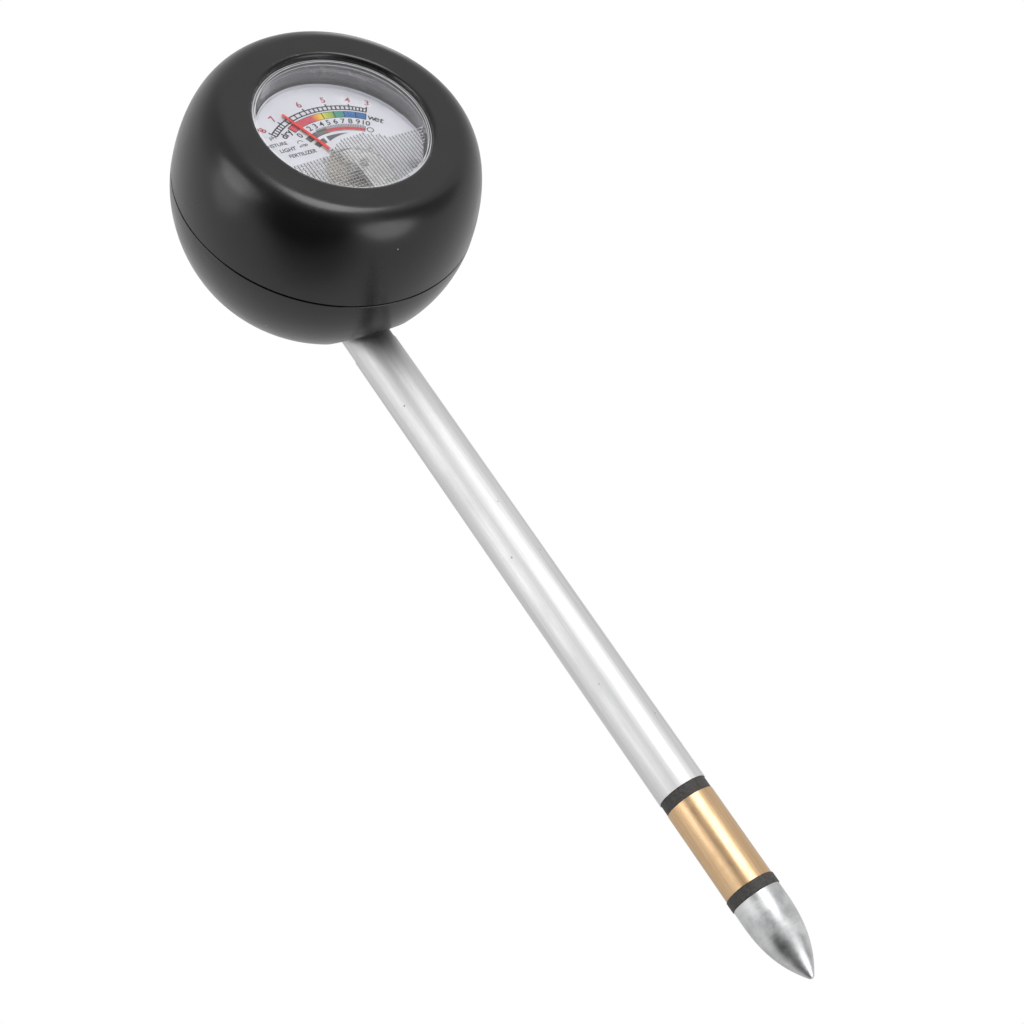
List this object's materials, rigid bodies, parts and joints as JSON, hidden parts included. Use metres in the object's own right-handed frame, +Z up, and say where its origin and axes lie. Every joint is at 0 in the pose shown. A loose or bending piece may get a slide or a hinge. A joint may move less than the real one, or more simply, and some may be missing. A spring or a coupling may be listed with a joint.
{
  "type": "soil moisture meter",
  "caption": "Round-headed analogue soil meter: a recessed multi-scale dial with a moving pointer on a tubular metal probe with an insulated electrode band and pointed tip.",
  "frame": {"origin": "on the axis of the probe, where the bare tube begins under the head", "axes": "+Z up along the probe, -Z towards its tip; the dial faces -Y; +X is to the reader's right"},
  "size_m": [0.0756, 0.0558, 0.2555],
  "materials": {
    "shell_plastic": "satin moulded black ABS",
    "knob_plastic": "moulded black",
    "window_clear": "clear moulded polystyrene, knurled below",
    "lens_clear": "clear moulded plastic",
    "dial_white": "white lacquered plate with printed scales",
    "base_plastic": "moulded black",
    "steel": "bright zinc plate",
    "yoke_steel": "yellow zinc plate",
    "magnet": "sintered magnet",
    "brass": "turned",
    "copper": "enamelled copper wire",
    "aluminium": "satin drawn tube",
    "aluminium_foil": "bright sheet",
    "tip_metal": "dull turned metal",
    "pointer_red": "red lacquer",
    "insulator_black": "rough moulded black",
    "board_green": "printed circuit laminate",
    "resistor_tan": "resistor lacquer",
    "cell": "cadmium sulphide cell",
    "lead_red": "pvc insulation",
    "lead_black": "pvc insulation",
    "lead_yellow": "pvc insulation",
    "sleeve_white": "nylon"
  },
  "bodies": {
    "housing": {"base_screws": "steel", "board_screws": "steel", "brass_electrode": "brass", "brass_lead": "lead_yellow", "calibration_resistors": "resistor_tan", "circuit_board": "board_green", "clamp_screws": "steel", "coil_cover": "aluminium_foil", "core_magnet": "magnet", "core_spacers": "brass", "dial_plate": "dial_white", "dial_screws": "steel", "front_bridge": "steel", "front_bridge_screws": "steel", "front_hairspring": "brass", "front_jewel_screw": "brass", "front_shell": "shell_plastic", "light_cell": "cell", "light_lens": "lens_clear", "lower_insulator": "insulator_black", "magnet_yoke": "yoke_steel", "meter_base": "base_plastic", "movement_lead_left": "lead_black", "movement_lead_right": "lead_red", "pointer_stops": "steel", "probe_tip": "tip_metal", "probe_tube": "aluminium", "rear_bridge": "steel", "rear_bridge_screws": "steel", "rear_hairspring": "brass", "rear_jewel_screw": "brass", "rear_shell": "shell_plastic", "selector_switch": "steel", "shell_screws": "steel", "terminal_pins": "brass", "tie_rod": "steel", "tie_rod_nut": "steel", "tie_rod_sleeve": "sleeve_white", "tip_lead": "lead_red", "tip_solder_tag": "brass", "tube_clamp": "base_plastic", "tube_lead": "lead_black", "tube_screw": "steel", "tube_solder_tag": "brass", "upper_insulator": "insulator_black", "window": "window_clear", "zero_lever": "brass"},
    "pointer_assembly": {"pointer": "pointer_red", "pointer_hub": "aluminium_foil", "balance_weights": "brass", "coil_former": "aluminium_foil", "coil_winding": "copper", "pivot_staffs": "steel"},
    "selector": {"selector_knob": "knob_plastic"}
  },
  "joints": [
    {"name": "pointer_pivot", "type": "hinge", "parent": "housing", "child": "pointer_assembly", "pos_m": [0, -0.0324, 0.023], "axis": [0, 1, 0], "range_deg": [-20, 62], "stiffness_Nm_per_rad": 0.00002, "deforming": ["front_hairspring", "rear_hairspring"]},
    {"name": "selector_slide", "type": "slide", "parent": "housing", "child": "selector", "axis": [1, 0, 0], "range_m": [0, 0.0075]}
  ]
}
